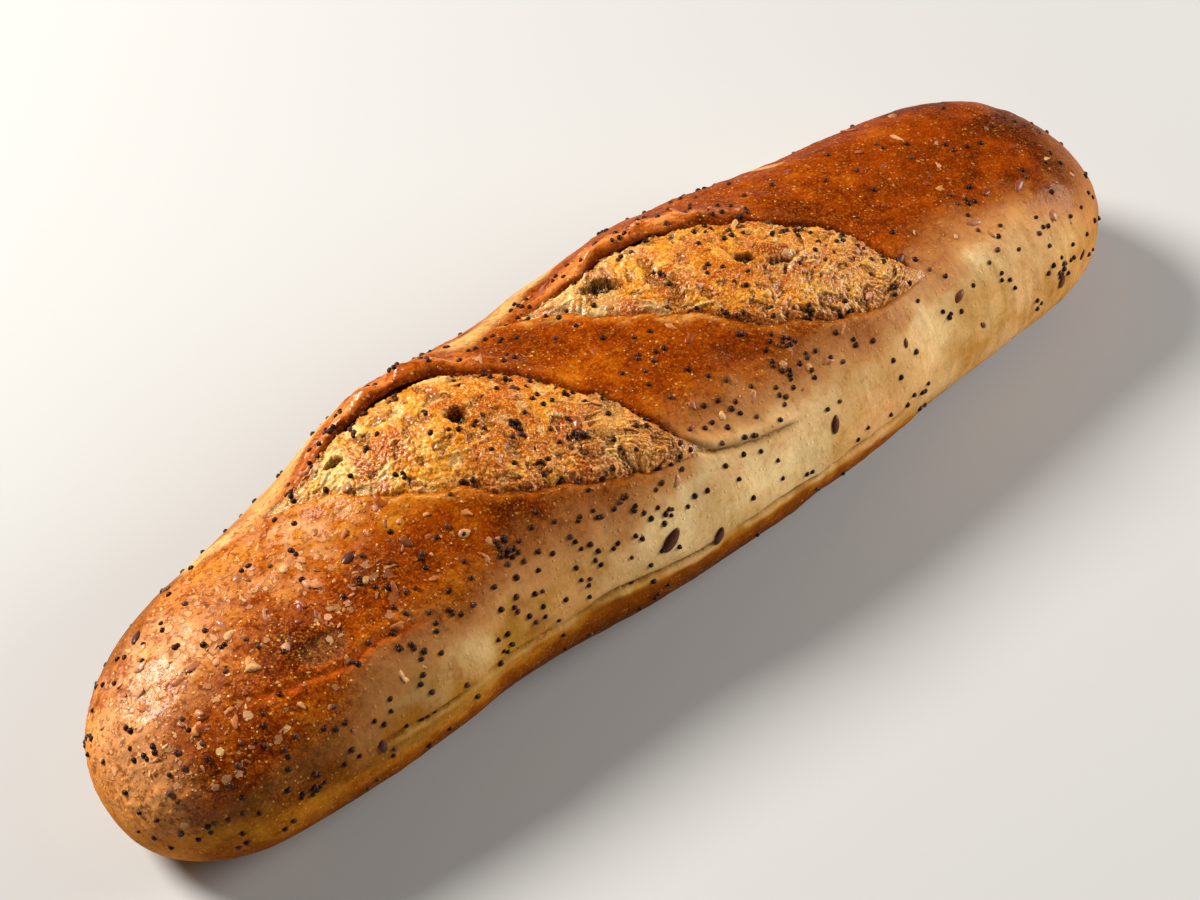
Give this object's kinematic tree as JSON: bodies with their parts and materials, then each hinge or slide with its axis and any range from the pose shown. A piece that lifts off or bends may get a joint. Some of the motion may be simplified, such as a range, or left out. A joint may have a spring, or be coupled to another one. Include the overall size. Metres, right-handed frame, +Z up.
{
  "type": "seeded vienna loaf",
  "caption": "Small bread loaf, long and rounded, with diagonal slashes that opened into ears and rough torn blooms, and seeds baked into a glossy golden crust.",
  "frame": {"origin": "middle of the underside, on the plane that the loaf rests on", "axes": "+X along the loaf, +Y towards the flank with the ears, +Z up"},
  "size_m": [0.26, 0.073, 0.0508],
  "materials": {
    "crust": null,
    "crumb": null,
    "poppy_seed": "satin blue-black seed",
    "linseed": "glossy dark brown seed",
    "grain": "pale to reddish cracked grain and flakes"
  },
  "bodies": {
    "root": {"loaf": "crust"}
  },
  "joints": []
}
